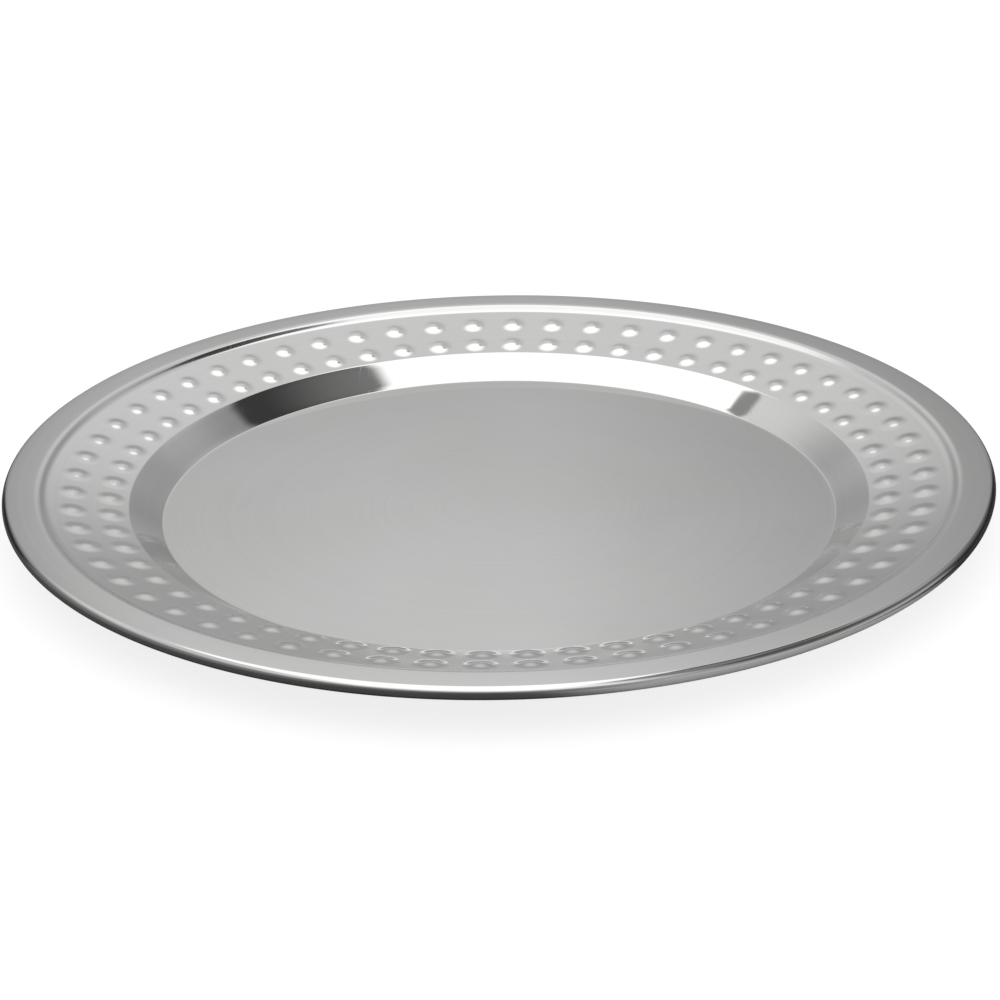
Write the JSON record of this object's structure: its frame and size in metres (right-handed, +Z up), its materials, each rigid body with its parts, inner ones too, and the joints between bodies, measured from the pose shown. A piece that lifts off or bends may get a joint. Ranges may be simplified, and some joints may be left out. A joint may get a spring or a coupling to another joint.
{
  "type": "round serving tray",
  "caption": "Round sheet-metal serving tray: flat floor in a shallow well, sloping band with two rows of raised bumps, flat rim and an edge rolled over a wire.",
  "frame": {"origin": "centre of the underside of the tray's base", "axes": "+Z up along the tray's axis of revolution; +X through the middle of one bump of each row"},
  "size_m": [0.35, 0.35, 0.0168],
  "materials": {
    "tray_steel": "polished stainless steel with a fine satin floor",
    "wire_steel": "drawn steel wire, unpolished"
  },
  "bodies": {
    "root": {"tray_pan": "tray_steel", "rim_wire": "wire_steel"}
  },
  "joints": []
}
